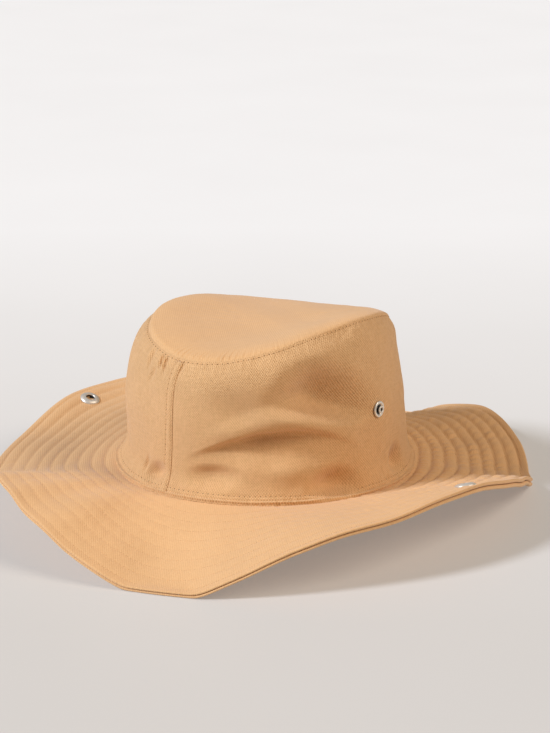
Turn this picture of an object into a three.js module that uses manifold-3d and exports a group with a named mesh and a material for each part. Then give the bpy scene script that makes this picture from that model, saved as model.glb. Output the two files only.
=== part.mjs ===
// Rancher hat in cotton twill. Two side panels and an oval tip make a soft crown, and a wide brim
// of two cloth layers dips at the front, the back and behind the left side, where it rests.
// Metal snaps on the brim and the crown hold the brim's sides up when they are fastened.
// Millimetres, +Z up, the front toward -Y and the wearer's left toward +X.

import * as THREE from 'three';
import { mergeVertices } from 'three/addons/utils/BufferGeometryUtils.js';
import Module from 'manifold-3d';

const wasm = await Module();
wasm.setup();

// Crown sizes
const baseLength = 196;
const baseWidth = 162;
const tipLength = 160;
const tipWidth = 122;
const tipOffsetLeft = 1;
const tipOffsetBack = 1.8;
const crownHeight = 80;
const tipRounding = 5;
const tipValleyDepth = 3.5;

// Brim sizes
const brimWidth = 75;
const brimSettle = 2.2;

// Cloth
const clothThickness = 1.2;
const pieceGap = 0.3;

// Snaps
const socketDiameter = 12.4;
const socketHeight = 1.8;
const socketBore = 4.4;
const socketFromEdge = 13;
const studFlangeDiameter = 10;
const studPostDiameter = 4.4;
const studPostHeight = 3.6;
const studHeight = 38;
const studTurn = 5.5;
const capDiameter = 11;
const capHeight = 1;
const shankDiameter = 3.4;
const rimHeight = 0.6;
const snapSeat = 0.4;

// Facets
const columnsAround = 72;
const columnsOfPanel = columnsAround / 2;
const snapFacets = 14;

const fullTurn = 2 * Math.PI;
const quarterTurn = fullTurn / 4;
const brimStack = 2 * clothThickness + pieceGap;
const innerRim = -clothThickness / brimWidth;
const turnsAround =Array.from({ length: columnsAround }, (_, column) => fullTurn * column / columnsAround);

// Directions around the hat, from the wearer's left (+X) by way of the back (+Y).
// turn: degrees around the hat
// seam: height of the seam of crown and brim, a share of brimWidth
// slope: mean slope of the brim in degrees, rising outward
// curl: degrees by which the brim is steeper at its edge than at its seam
// reach: width of the brim, a share of brimWidth
// tip: height of the crown's upper seam, a share of crownHeight
const directions = [
  { turn: 0, seam: -0.081, slope: 16.8, curl: 0, reach: 0.994, tip: 1.139 },
  { turn: 22.5, seam: -0.113, slope: 5.7, curl: -2, reach: 0.939, tip: 1.091 },
  { turn: 45, seam: -0.119, slope: -10.6, curl: 0, reach: 0.961, tip: 0.984 },
  { turn: 60, seam: -0.106, slope: -4.4, curl: 5, reach: 0.998, tip: 0.931 },
  { turn: 75, seam: -0.08, slope: 0.3, curl: 8, reach: 1.012, tip: 0.9 },
  { turn: 87, seam: -0.053, slope: -5.8, curl: 8, reach: 0.996, tip: 0.884 },
  { turn: 97, seam: -0.026, slope: -16.1, curl: 6, reach: 0.983, tip: 0.876 },
  { turn: 112, seam: 0.012, slope: -16.3, curl: 0, reach: 0.992, tip: 0.882 },
  { turn: 135, seam: 0.059, slope: -19.8, curl: 0, reach: 1.002, tip: 0.922 },
  { turn: 157.5, seam: 0.083, slope: -0.4, curl: 0, reach: 1.008, tip: 0.995 },
  { turn: 180, seam: 0.085, slope: 0.1, curl: 4, reach: 1.01, tip: 1.077 },
  { turn: 202.5, seam: 0.073, slope: -6.8, curl: 4, reach: 1.002, tip: 1.1 },
  { turn: 225, seam: 0.059, slope: -6.4, curl: 0, reach: 0.991, tip: 1.071 },
  { turn: 247.5, seam: 0.048, slope: 9.4, curl: -4, reach: 0.978, tip: 1.007 },
  { turn: 270, seam: 0.041, slope: -7.4, curl: -8, reach: 0.998, tip: 0.952 },
  { turn: 292.5, seam: 0.028, slope: -18.2, curl: -8, reach: 1.042, tip: 0.952 },
  { turn: 315, seam: 0.002, slope: 3.4, curl: -4, reach: 1.011, tip: 1.016 },
  { turn: 337.5, seam: -0.037, slope: 13, curl: 0, reach: 1.009, tip: 1.101 },
];

// Sections of the crown's side, from the base up.
// rise: share of the side's height
// inset: share of the way in from the base's outline to the tip's outline
const sideSections = [
  { rise: 0, inset: 0 },
  { rise: 0.04, inset: 0.12 },
  { rise: 0.1, inset: 0.24 },
  { rise: 0.17, inset: 0.32 },
  { rise: 0.25, inset: 0.35 },
  { rise: 0.32, inset: 0.37 },
  { rise: 0.38, inset: 0.38 },
  { rise: 0.44, inset: 0.39 },
  { rise: 0.5, inset: 0.4 },
  { rise: 0.58, inset: 0.42 },
  { rise: 0.68, inset: 0.46 },
  { rise: 0.78, inset: 0.51 },
  { rise: 0.87, inset: 0.61 },
  { rise: 0.94, inset: 0.76 },
  { rise: 1, inset: 1 },
];

// Folds and hollows of the crown's side.
// turn, halfTurn: middle and half width in degrees around the hat
// rise, halfRise: middle and half height, shares of the side's height
// drop: how far the fold falls from its middle to its ends, a share of the side's height
// depth: how far it goes in, a share of baseWidth, and negative where it bulges out
const sideFolds = [
  { turn: 320, halfTurn: 34, rise: 0.45, halfRise: 0.1, drop: 0.1, depth: 0.026 },
  { turn: 312, halfTurn: 26, rise: 0.27, halfRise: 0.15, drop: 0.03, depth: -0.014 },
  { turn: 327, halfTurn: 20, rise: 0.78, halfRise: 0.19, drop: 0, depth: 0.022 },
  { turn: 341, halfTurn: 13, rise: 0.15, halfRise: 0.14, drop: 0, depth: 0.022 },
  { turn: 17, halfTurn: 10, rise: 0.2, halfRise: 0.14, drop: 0, depth: 0.014 },
  { turn: 288, halfTurn: 9, rise: 0.2, halfRise: 0.1, drop: 0, depth: 0.012 },
  { turn: 256, halfTurn: 12, rise: 0.22, halfRise: 0.15, drop: 0, depth: 0.018 },
  { turn: 222, halfTurn: 42, rise: 0.58, halfRise: 0.4, drop: 0, depth: -0.014 },
  { turn: 40, halfTurn: 45, rise: 0.8, halfRise: 0.36, drop: 0, depth: 0.015 },
  { turn: 60, halfTurn: 22, rise: 0.4, halfRise: 0.12, drop: -0.04, depth: 0.016 },
  { turn: 118, halfTurn: 20, rise: 0.62, halfRise: 0.2, drop: 0, depth: 0.014 },
  { turn: 148, halfTurn: 26, rise: 0.36, halfRise: 0.12, drop: 0.05, depth: 0.018 },
];

// Rings of the tip from its seam to its middle, as shares of its outline
const tipRings = [1, 0.94, 0.84, 0.62, 0.34, 0];

// Rings of the brim outside its inner rim, as shares of its width
const brimRings = [0.24, 0.5, 0.72, 0.88, 0.955, 1];

// Row of the table of directions by its place, counting on past a full turn either way
function direction(place) {
  const count = directions.length;
  const laps = Math.floor(place / count);
  const row = directions[place - laps * count];
  return { ...row, turn: row.turn + 360 * laps };
}

// Value of a column of the table of directions at any angle, as a smooth closed curve
function around(column, turn) {
  const degrees = THREE.MathUtils.euclideanModulo(THREE.MathUtils.radToDeg(turn), 360);
  const place = directions.findLastIndex((row) => row.turn <= degrees);
  const [before, from, to, after] = [-1, 0, 1, 2].map((step) => direction(place + step));
  const span = to.turn - from.turn;
  const part = (degrees - from.turn) / span;
  const leaving = span * (to[column] - before[column]) / (to.turn - before.turn);
  const arriving = span * (after[column] - from[column]) / (after.turn - from.turn);
  const square = part * part;
  const cube = square * part;
  return (2 * cube - 3 * square + 1) * from[column] + (cube - 2 * square + part) * leaving
    + (3 * square - 2 * cube) * to[column] + (cube - square) * arriving;
}

// Outline of the seam of crown and brim
function baseOutline(turn) {
  return new THREE.Vector3(
    Math.cos(turn) * baseWidth / 2,
    Math.sin(turn) * baseLength / 2,
    around('seam', turn) * brimWidth,
  );
}

// Level direction that leaves the crown's base squarely
function outward(turn) {
  return new THREE.Vector3(Math.cos(turn) / baseWidth, Math.sin(turn) / baseLength, 0).normalize();
}

// Upper face of the brim before it settles; share is 0 at the seam, 1 at the edge and innerRim at
// the rim under the crown's cloth
function brimFall(turn, share) {
  const curl = THREE.MathUtils.degToRad(around('curl', turn));
  const slope = THREE.MathUtils.degToRad(around('slope', turn)) + curl * (share - 1) / 2;
  const along = brimWidth * around('reach', turn) * share;
  const point = baseOutline(turn).addScaledVector(outward(turn), along * Math.cos(slope));
  point.z += along * Math.sin(slope);
  return point;
}

// Height of what the hat rests on: the lowest dips of the brim flatten on it
function restingHeight() {
  const lowest = Math.min(...turnsAround.map((turn) => brimFall(turn, 1).z));
  return lowest - brimStack + brimSettle;
}

const restHeight = restingHeight();

// Brim at a depth below its upper face, laid flat where it meets the resting height
function brimFace(turn, share, depth = 0) {
  const point = brimFall(turn, share);
  point.z = Math.max(point.z - depth, restHeight + brimStack - depth);
  return point;
}

// Outline of the seam of side and tip
function tipOutline(turn) {
  return new THREE.Vector3(
    Math.cos(turn) * tipWidth / 2 + tipOffsetLeft,
    Math.sin(turn) * tipLength / 2 + tipOffsetBack,
    around('tip', turn) * crownHeight,
  );
}

// How far a fold reaches at a place on the side: 1 in its middle and 0 at its rim
function foldStrength(fold, turn, rise) {
  const degrees = THREE.MathUtils.radToDeg(turn) - fold.turn;
  const across = (degrees - 360 * Math.round(degrees / 360)) / fold.halfTurn;
  const up = (rise - fold.rise + fold.drop * across * across) / fold.halfRise;
  const distance = Math.min(Math.hypot(across, up), 1);
  return (1 + Math.cos(Math.PI * distance)) / 2;
}

function foldDepth(turn, rise) {
  return sideFolds.reduce((sum, fold) => sum + fold.depth * baseWidth * foldStrength(fold, turn, rise), 0);
}

// Share of the way in from base to tip at any rise, between the two nearest sections
function insetAt(rise) {
  const upper = sideSections.findIndex((section) => section.rise >= rise);
  if (upper < 1) {
    return sideSections[0].inset;
  }
  const low = sideSections[upper - 1];
  const high = sideSections[upper];
  return THREE.MathUtils.mapLinear(rise, low.rise, high.rise, low.inset, high.inset);
}

// Outer face of the crown's side, from the brim up to just under the tip
function sideFace(turn, rise) {
  const base = baseOutline(turn);
  const top = tipOutline(turn);
  base.z += pieceGap;
  top.z -= clothThickness + pieceGap;
  const height = THREE.MathUtils.lerp(base.z, top.z, rise);
  const point = base.lerp(top, insetAt(rise));
  point.z = height;
  return point.addScaledVector(outward(turn), -foldDepth(turn, rise));
}

// Inner face of the crown's side, which stands on the brim's inner rim
function sideLining(turn, rise) {
  const point = sideFace(turn, rise).addScaledVector(outward(turn), -clothThickness);
  if (rise === 0) {
    point.z = brimFace(turn, innerRim).z + pieceGap;
  }
  return point;
}

// Mean height of the tip's seam, where the middle of the saddle lies
function saddleHeight() {
  const sum = turnsAround.reduce((total, turn) => total + tipOutline(turn).z, 0);
  return sum / columnsAround;
}

const saddle = saddleHeight();

// Upper face of the tip: a saddle that rounds over at its seam and dips along its middle
function tipFace(turn, share, depth = 0) {
  const middle = new THREE.Vector3(tipOffsetLeft, tipOffsetBack, saddle);
  const rim = tipOutline(turn);
  const point = middle.clone().lerp(rim, share);
  const sideways = share * Math.cos(turn);
  point.z = THREE.MathUtils.lerp(middle.z, rim.z, share * share)
    + tipRounding * (1 - share ** 8)
    - tipValleyDepth * (1 - share * share) * (1 - sideways * sideways) - depth;
  return point;
}

// Grid of points, one row for each share and one column for each turn
function grid(shares, turns, face) {
  return shares.map((share) => turns.map((turn) => face(turn, share)));
}

// Closed mesh from points and triangles: points that coincide are merged, empty triangles go
function solid(points, triangles) {
  const scattered = new THREE.BufferGeometry().setFromPoints(points);
  scattered.setIndex(triangles);
  const merged = mergeVertices(scattered);
  const index = merged.index.array;
  const kept = [];
  for (let at = 0; at < index.length; at += 3) {
    const [a, b, c] = index.subarray(at, at + 3);
    if (a !== b && b !== c && c !== a) {
      kept.push(a, b, c);
    }
  }
  merged.setIndex(kept);
  return merged;
}

// Cloth between two grids of points. The front grid is seen from outside with its columns going
// right and its rows going up. A closed cloth joins its last column to its first.
function cloth(front, back, isClosed) {
  const rows = front.length;
  const columns = front[0].length;
  const points = [...front.flat(), ...back.flat()];
  const triangles = [];
  const onFront = (row, column) => row * columns + (column % columns);
  const onBack = (row, column) => rows * columns + onFront(row, column);
  const quad = (a, b, c, d) => triangles.push(a, b, c, a, c, d);
  const spans = isClosed ? columns : columns - 1;
  const last = rows - 1;
  for (let c = 0; c < spans; c += 1) {
    for (let r = 0; r < last; r += 1) {
      quad(onFront(r, c), onFront(r, c + 1), onFront(r + 1, c + 1), onFront(r + 1, c));
      quad(onBack(r, c), onBack(r + 1, c), onBack(r + 1, c + 1), onBack(r, c + 1));
    }
    quad(onBack(0, c), onBack(0, c + 1), onFront(0, c + 1), onFront(0, c));
    quad(onFront(last, c), onFront(last, c + 1), onBack(last, c + 1), onBack(last, c));
  }
  for (let r = 0; r < last && !isClosed; r += 1) {
    quad(onBack(r, 0), onFront(r, 0), onFront(r + 1, 0), onBack(r + 1, 0));
    quad(onFront(r, spans), onBack(r, spans), onBack(r + 1, spans), onFront(r + 1, spans));
  }
  return solid(points, triangles);
}

// Frame on a cloth face whose Z leaves the cloth; side is 1 on the crown and -1 on the brim
function frameOn(face, turn, share, side) {
  const step = 0.02;
  const aroundHat = face(turn + step, share).sub(face(turn - step, share));
  const acrossCloth = face(turn, share + step).sub(face(turn, share - step));
  const normal = aroundHat.clone().cross(acrossCloth).multiplyScalar(side).normalize();
  const first = aroundHat.normalize();
  const second = normal.clone().cross(first);
  return new THREE.Matrix4().makeBasis(first, second, normal).setPosition(face(turn, share));
}

const studRise = studHeight / crownHeight;
const studAngle = THREE.MathUtils.degToRad(studTurn);
const socketShare = 1 - socketFromEdge / brimWidth;
const places = {
  studLeft: frameOn(sideFace, studAngle, studRise, 1),
  studRight: frameOn(sideFace, fullTurn / 2 - studAngle, studRise, 1),
  socketLeft: frameOn(brimFace, 0, socketShare, -1),
  socketRight: frameOn(brimFace, fullTurn / 2, socketShare, -1),
};

function toManifold(geometry) {
  return new wasm.Manifold(new wasm.Mesh({
    numProp: 3,
    vertProperties: new Float32Array(geometry.attributes.position.array),
    triVerts: new Uint32Array(geometry.index.array),
  }));
}

function fromManifold(manifold) {
  const mesh = manifold.getMesh();
  const geometry = new THREE.BufferGeometry();
  geometry.setAttribute('position', new THREE.BufferAttribute(mesh.vertProperties, 3));
  geometry.setIndex(new THREE.BufferAttribute(mesh.triVerts, 1));
  return geometry;
}

// Cloth with a hole for the shank of the snap at each of the places
function pierced(geometry, frames) {
  const holeLength = 4 * brimStack;
  const radius = shankDiameter / 2 + pieceGap;
  let body = toManifold(geometry);
  for (const frame of frames) {
    const plug = new THREE.CylinderGeometry(radius, radius, holeLength, snapFacets);
    plug.rotateX(quarterTurn);
    plug.applyMatrix4(frame);
    plug.deleteAttribute('normal');
    plug.deleteAttribute('uv');
    body = body.subtract(toManifold(mergeVertices(plug)));
  }
  return fromManifold(body);
}

// Turned metal snap on its frame: a cap behind the cloth, a shank through it and a head outside.
// The head's profile runs from its outer rim to the axis, above the seat.
function snap(clothDepth, head) {
  const back = -clothDepth - snapSeat;
  const shankRadius = shankDiameter / 2;
  const capRadius = capDiameter / 2;
  const outline = [
    [0, back - capHeight],
    [capRadius - capHeight / 2, back - capHeight],
    [capRadius, back - capHeight / 2],
    [capRadius, back],
    [shankRadius, back],
    [shankRadius, snapSeat],
    ...head.map(([radius, height]) => [radius, snapSeat + height]),
  ];
  const geometry = new THREE.LatheGeometry(outline.map((pair) => new THREE.Vector2(...pair)), snapFacets);
  return geometry.rotateX(quarterTurn);
}

function socket() {
  const outer = socketDiameter / 2;
  const bore = socketBore / 2;
  const shoulder = (outer + bore) / 2;
  return snap(brimStack, [
    [outer, 0],
    [outer, rimHeight],
    [shoulder, socketHeight],
    [bore, socketHeight - rimHeight / 2],
    [bore, rimHeight],
    [0, rimHeight],
  ]);
}

function stud() {
  const flange = studFlangeDiameter / 2;
  const post = studPostDiameter / 2;
  const neck = post * 0.85;
  const dimple = post / 2;
  return snap(clothThickness, [
    [flange, 0],
    [flange, rimHeight / 2],
    [neck, rimHeight],
    [post, studPostHeight - rimHeight],
    [neck, studPostHeight],
    [dimple, studPostHeight],
    [dimple, studPostHeight / 2],
    [0, studPostHeight / 2],
  ]);
}

// One of the brim's two layers, from a depth below the brim's upper face to one cloth deeper
function brimLayer(depth) {
  const shares = [innerRim, ...brimRings];
  const under = grid(shares, turnsAround, (turn, share) => brimFace(turn, share, depth + clothThickness));
  const upper = grid(shares, turnsAround, (turn, share) => brimFace(turn, share, depth));
  return pierced(cloth(under, upper, true), [places.socketLeft, places.socketRight]);
}

// Side panel from the seam at the start turn, half way round the crown
function sidePanel(startTurn, place) {
  const seamGap = pieceGap / tipWidth;
  const span = fullTurn / 2 - 2 * seamGap;
  const turns = Array.from(
    { length: columnsOfPanel + 1 },
    (_, column) => startTurn + seamGap + span * column / columnsOfPanel,
  );
  const rises = sideSections.map((section) => section.rise);
  return pierced(cloth(grid(rises, turns, sideFace), grid(rises, turns, sideLining), false), [place]);
}

function tipPanel() {
  const top = grid(tipRings, turnsAround, (turn, share) => tipFace(turn, share));
  const under = grid(tipRings, turnsAround, (turn, share) => tipFace(turn, share, clothThickness));
  return cloth(top, under, true);
}

const twill = { color: 0xd3a06c, roughness: 0.92, metalness: 0 };
const nickel = { color: 0xc9c7c2, roughness: 0.28, metalness: 1 };

const hat = new THREE.Group();

function addPiece(name, geometry, look, frame = new THREE.Matrix4()) {
  const mesh = new THREE.Mesh(geometry, new THREE.MeshStandardMaterial(look));
  mesh.name = name;
  mesh.applyMatrix4(frame);
  hat.add(mesh);
}

addPiece('crown_tip', tipPanel(), twill);
addPiece('crown_side_left', sidePanel(-quarterTurn, places.studLeft), twill);
addPiece('crown_side_right', sidePanel(quarterTurn, places.studRight), twill);
addPiece('brim_upper', brimLayer(0), twill);
addPiece('brim_under', brimLayer(clothThickness + pieceGap), twill);
addPiece('crown_stud_left', stud(), nickel, places.studLeft);
addPiece('crown_stud_right', stud(), nickel, places.studRight);
addPiece('brim_socket_left', socket(), nickel, places.socketLeft);
addPiece('brim_socket_right', socket(), nickel, places.socketRight);

// The hat stands on the floor with the middle of its outline over the origin
const bounds = new THREE.Box3().setFromObject(hat);
const middle = bounds.getCenter(new THREE.Vector3());
hat.position.set(-middle.x, -middle.y, -restHeight);

export default hat;
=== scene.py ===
"""Rancher hat in cotton twill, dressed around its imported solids.

Metres, +Z up, the front toward -Y and the wearer's left toward +X. Each operator makes one piece or
one group of like pieces, and the last one sets the stage.
"""

import math

import bmesh
import bpy
import numpy as np
from bpy.props import FloatProperty, FloatVectorProperty, IntProperty, PointerProperty
from mathutils import Matrix, Vector


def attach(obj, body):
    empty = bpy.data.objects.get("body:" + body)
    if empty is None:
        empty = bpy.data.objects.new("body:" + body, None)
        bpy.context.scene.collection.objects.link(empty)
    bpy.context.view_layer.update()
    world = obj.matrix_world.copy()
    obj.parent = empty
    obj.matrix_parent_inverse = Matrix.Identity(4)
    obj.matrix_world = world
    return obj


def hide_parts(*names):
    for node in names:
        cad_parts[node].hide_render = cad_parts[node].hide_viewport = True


bl_info = {
    "name": "Rancher Hat",
    "version": (1, 0, 0),
    "blender": (4, 5, 0),
    "location": "View3D > Sidebar > Hat",
    "description": "Makes a sewn rancher hat from its named sizes, and sets its stage",
    "category": "Object",
}

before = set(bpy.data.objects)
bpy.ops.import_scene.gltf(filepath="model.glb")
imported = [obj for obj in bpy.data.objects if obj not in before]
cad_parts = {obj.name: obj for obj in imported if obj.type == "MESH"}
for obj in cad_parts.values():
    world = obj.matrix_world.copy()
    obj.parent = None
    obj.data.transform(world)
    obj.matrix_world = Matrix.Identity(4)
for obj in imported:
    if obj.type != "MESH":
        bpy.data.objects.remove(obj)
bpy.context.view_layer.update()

PHOTO_HEIGHT = 733
SENSOR_MM = 36.0
MM = 0.001
HALF_TURN = math.pi
FRONT = 1.5 * math.pi
BACK = 0.5 * math.pi
LEFT = 0.0
RIGHT = math.pi


# Sizes and colours

def number(name, description, default):
    """A plain number."""
    return FloatProperty(name=name, description=description, default=default)


def length(name, description, default):
    """A length in metres."""
    return FloatProperty(name=name, description=description, default=default, unit="LENGTH", precision=5)


def angle(name, description, degrees):
    """An angle, given in degrees and kept in radians."""
    return FloatProperty(
        name=name, description=description, default=math.radians(degrees), subtype="ANGLE", precision=4,
    )


def colour(name, description, default, brightest=1):
    """A colour, as its red, green and blue."""
    return FloatVectorProperty(
        name=name, description=description, default=default, size=3, min=0, max=brightest, subtype="COLOR",
    )


class HatSizes(bpy.types.PropertyGroup):
    """Sizes of the cut and sewn cloth."""

    base_length: length("Base length", "Front to back of the seam of crown and brim", 0.196)
    base_width: length("Base width", "Side to side of the seam of crown and brim", 0.162)
    tip_length: length("Tip length", "Front to back of the crown's top panel", 0.16)
    tip_width: length("Tip width", "Side to side of the crown's top panel", 0.122)
    tip_left: length("Tip to the left", "How far the top panel stands to the left", 0.001)
    tip_back: length("Tip to the back", "How far the top panel stands to the back", 0.0018)
    crown_height: length("Crown height", "Height of the crown's side", 0.08)
    tip_rounding: length("Tip rounding", "How far the top panel domes above its seam", 0.0038)
    tip_valley: length("Tip valley", "Depth of the hollow along the top panel's middle", 0.0035)
    brim_width: length("Brim width", "From the crown's seam to the edge", 0.075)
    brim_settle: length("Brim settling", "How far the lowest dips flatten where they rest", 0.0022)
    cloth: length("Cloth thickness", "Thickness of one layer of twill with its interlining", 0.0012)
    gap: length("Gap", "Space between pieces that touch", 0.0003)
    place: FloatVectorProperty(
        name="Place", description="Middle of the crown's base, above the floor",
        default=(0.0021909, 0.0001517, 0.0232762), size=3, subtype="TRANSLATION", unit="LENGTH",
    )


class SewingSizes(bpy.types.PropertyGroup):
    """Sizes of the seams and the stitching."""

    pitch: length("Stitch pitch", "From one stitch to the next", 0.0029)
    thread: length("Thread", "Thickness of the thread", 0.0005)
    brim_rows: IntProperty(name="Brim rows", description="Rings of stitching on the brim", default=9, min=1)
    first_row: length("First row", "From the brim's edge to its first ring of stitching", 0.0046)
    row_spacing: length("Row spacing", "From one ring of stitching to the next", 0.0079)
    quilting: length("Quilting", "How far the cloth swells between the rings", 0.00042)
    groove: length("Groove", "How deep a row of stitching pulls the cloth in", 0.0003)
    groove_width: length("Groove width", "Half width of that groove", 0.0007)
    base_roll: length("Base roll", "Height of the rolled edge at the crown's base", 0.0016)
    base_recess: length("Base recess", "Height of the recess beneath that rolled edge", 0.0006)
    roll_height: length("Roll height", "How far that rolled edge stands out", 0.0013)
    base_row: length("Base row", "From the crown's base up to its row of stitching", 0.0049)
    tip_row: length("Tip row", "From the tip's seam down to its row of stitching", 0.0013)
    # The needle hole is a flat dark dot of painted shade, for the shade inside the hole.
    hole: length("Needle hole", "Diameter of the dark hole between two stitches", 0.0007)
    fell_turn: angle("Fell turn", "How far the front fell lies toward the wearer's left", 1.6)
    seam_depth: length("Seam depth", "How deep the tip's seam lies between the two cloths", 0.0006)
    fell_width: length("Fell width", "Width of the felled seams at the front and back", 0.0052)
    fell_height: length("Fell height", "How far the felled seams stand out", 0.0006)


class SnapSizes(bpy.types.PropertyGroup):
    """Sizes and places of the metal snaps."""

    socket: length("Socket", "Diameter of the socket on the brim", 0.0124)
    socket_height: length("Socket height", "How far the socket stands above the cloth", 0.002)
    bore: length("Bore", "Diameter of the socket's hole", 0.005)
    socket_inset: length("Socket inset", "From the brim's edge to the socket's middle", 0.013)
    flange: length("Flange", "Diameter of the stud's flange", 0.0096)
    post: length("Post", "Diameter of the stud's post", 0.0044)
    post_height: length("Post height", "How far the post stands above the cloth", 0.0024)
    stud_height: length("Stud height", "Height of the stud on the crown", 0.038)
    stud_turn: angle("Stud turn", "How far the stud lies behind the side's middle", 5.5)
    cap: length("Cap", "Diameter of the cap behind the cloth", 0.011)
    shank: length("Shank", "Diameter of the shank through the cloth", 0.0034)


class HatColours(bpy.types.PropertyGroup):
    """Colours of cloth, thread and metal, and the size of the weave."""

    twill: colour("Twill", "Colour of the cloth", (0.785, 0.485, 0.24))
    twill_dark: colour("Twill, dark", "Colour between the yarns", (0.5, 0.26, 0.1))
    thread: colour("Thread", "Colour of the stitching", (0.72, 0.43, 0.205))
    # Painted shade: the needle holes' colour is the dark of the shade inside them.
    hole: colour("Needle holes", "Colour of the holes between the stitches", (0.2, 0.09, 0.03))
    metal: colour("Metal", "Colour of the snaps", (0.82, 0.79, 0.73))
    # The dull colour serves the snaps' real dull patches, and also the painted shade at each snap's foot
    # beside the cloth.
    metal_dark: colour("Metal, dark", "Colour of the snaps where they are dull", (0.45, 0.41, 0.36))
    # Painted shade: the bore colour is the dark of the shade deep inside the snaps' holes.
    bore: colour("Bore", "Colour inside the snaps, dark with age", (0.035, 0.03, 0.028))
    contrast: number("Contrast", "How much the yarns show in the colour", 0.22)
    rib: length("Rib", "Depth between the ribs of the twill", 0.00009)
    yarn: length("Yarn", "From one rib of the twill to the next", 0.0016)


class StageSettings(bpy.types.PropertyGroup):
    """Camera, lights and floor."""

    azimuth: angle("Azimuth", "Camera's direction around the hat", 38.93)
    elevation: angle("Elevation", "Camera's direction above the floor", 18.91)
    distance: length("Distance", "From the camera to the middle of the crown's base", 1.25)
    yaw: angle("Yaw", "Camera's turn to the side", 0.21)
    pitch: angle("Pitch", "Camera's turn upward", 2.34)
    roll: angle("Roll", "Camera's tilt", -0.35)
    lens: number("Lens", "Focal length in pixels of the photograph", 2118.72)
    # Painted light and shade: the floor is darker in front of the hat and paler far behind it, for the fall
    # of the light across it.
    floor_near: colour("Floor, near", "Colour of the floor in front of the hat", (0.46, 0.447, 0.43))
    floor_far: colour("Floor, far", "Colour of the floor far behind the hat", (0.69, 0.705, 0.72))
    fade_start: length("Fade start", "Where the floor's far colour starts, behind the middle", -0.2)
    fade_end: length("Fade end", "Where the floor's far colour is full", 0.7)
    floor_glow: colour("Floor glow", "Colour of the light that the floor gives off", (1.0, 0.97, 0.94))
    glow: number("Glow", "Strength of that light", 0.2)
    sky: colour("Sky", "Colour of the soft light from all round", (1.0, 0.87, 0.73))
    sky_strength: number("Sky strength", "Strength of that light", 0.22)
    key: number("Key light", "Strength of the main light, from the left", 3.0)
    key_turn: angle("Key turn", "Direction of the main light around the hat", 241)
    key_rise: angle("Key rise", "Direction of the main light above the floor", 36)
    key_spread: angle("Key spread", "How wide the main light is", 11)
    key_tint: colour("Key tint", "Colour of the main light", (0.95, 1.0, 1.1), 2)
    side: number("Side light", "Strength of the light from the camera's right", 1.6)
    side_turn: angle("Side turn", "Direction of that light around the hat", 21)
    side_rise: angle("Side rise", "Direction of that light above the floor", 42)
    side_spread: angle("Side spread", "How wide that light is", 30)
    side_tint: colour("Side tint", "Colour of that light", (1.0, 0.87, 0.74))


# Tables of the form

def table(columns, *rows):
    """Rows of numbers as one array for each named column."""
    return dict(zip(columns.split(), np.array(rows, float).T))


# The hat around its seam: degrees from the wearer's left by way of the back; height of the crown's base
# as a share of the brim's width; the brim's mean slope and how much steeper it is at its edge, in
# degrees; the brim's reach as a share of its width; height of the tip's seam as a share of the crown's
DIRECTIONS = table(
    "turn seam slope curl reach tip",
    (0, -0.081, 16.8, 0, 0.975, 1.142),
    (22.5, -0.113, 5.7, -2, 0.924, 1.1),
    (45, -0.119, -10.6, 0, 0.931, 0.997),
    (60, -0.106, -4.4, 5, 0.984, 0.948),
    (75, -0.08, 0.3, 8, 1.012, 0.9),
    (87, -0.053, -5.8, 8, 0.996, 0.884),
    (97, -0.026, -16.1, 6, 0.983, 0.876),
    (112, 0.012, -16.3, 0, 0.992, 0.882),
    (135, 0.059, -19.8, 0, 1.002, 0.922),
    (157.5, 0.083, 0.6, 0, 1.008, 0.995),
    (180, 0.085, 1.1, 4, 1.01, 1.077),
    (202.5, 0.073, -6.8, 4, 1.002, 1.1),
    (225, 0.059, -6.4, 0, 0.991, 1.071),
    (247.5, 0.048, 9.4, -4, 0.978, 1.024),
    (270, 0.041, -7.4, -8, 0.998, 0.97),
    (292.5, 0.028, -18.2, -8, 1.042, 0.972),
    (315, 0.002, 3.4, -4, 1.011, 1.032),
    (337.5, -0.037, 13, 0, 1.009, 1.109),
)

# The crown's side from its base up: share of its height, and of the way in from base to tip
SIDE_SECTIONS = table(
    "rise inset",
    (0, 0), (0.04, 0.12), (0.1, 0.24), (0.17, 0.32), (0.25, 0.35), (0.32, 0.37), (0.38, 0.38), (0.44, 0.39),
    (0.5, 0.4), (0.58, 0.42), (0.68, 0.46), (0.78, 0.505), (0.87, 0.6), (0.94, 0.745), (1, 1),
)

# Folds of the crown's side: middle and half width in degrees; height of the middle, and reach above and
# below it, as shares of the side's height; fall from the middle to the ends; rise for each degree; lean in
# degrees over the side's height; depth as a share of the base's width, negative where the cloth bulges out
FOLD_COLUMNS = "turn half_turn rise above below drop tilt lean depth"
SIDE_FOLDS = table(
    FOLD_COLUMNS,
    (317, 41, 0.43, 0.075, 0.26, 0.2, 0, 0, 0.044),
    (320, 38, 0.56, 0.13, 0.11, 0.14, 0, 0, -0.02),
    (338, 28, 0.59, 0.34, 0.14, 0, -0.004, 0, 0.09),
    (306, 22, 0.6, 0.3, 0.2, 0, -0.01, 0, 0.016),
    (341, 14, 0.06, 0.17, 0.07, 0, 0, 0, 0.055),
    (322, 12, 0.2, 0.1, 0.14, 0, 0, 0, -0.012),
    (18, 8, 0.09, 0.16, 0.09, 0, 0, 0, 0.038),
    (293, 14, 0.17, 0.11, 0.12, 0, 0, 0, 0.03),
    (265, 8, 0.1, 0.14, 0.09, 0, 0, 20, 0.028),
    (222, 42, 0.58, 0.4, 0.4, 0, 0, 0, -0.014),
    (40, 45, 0.78, 0.22, 0.38, 0, 0, 0, 0.017),
    (60, 22, 0.4, 0.08, 0.18, -0.04, 0, 0, 0.018),
    (118, 20, 0.62, 0.2, 0.2, 0, 0, 0, 0.014),
    (148, 26, 0.36, 0.08, 0.18, 0.05, 0, 0, 0.02),
    (192, 18, 0.3, 0.1, 0.16, 0.03, 0, 0, 0.012),
)

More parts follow.
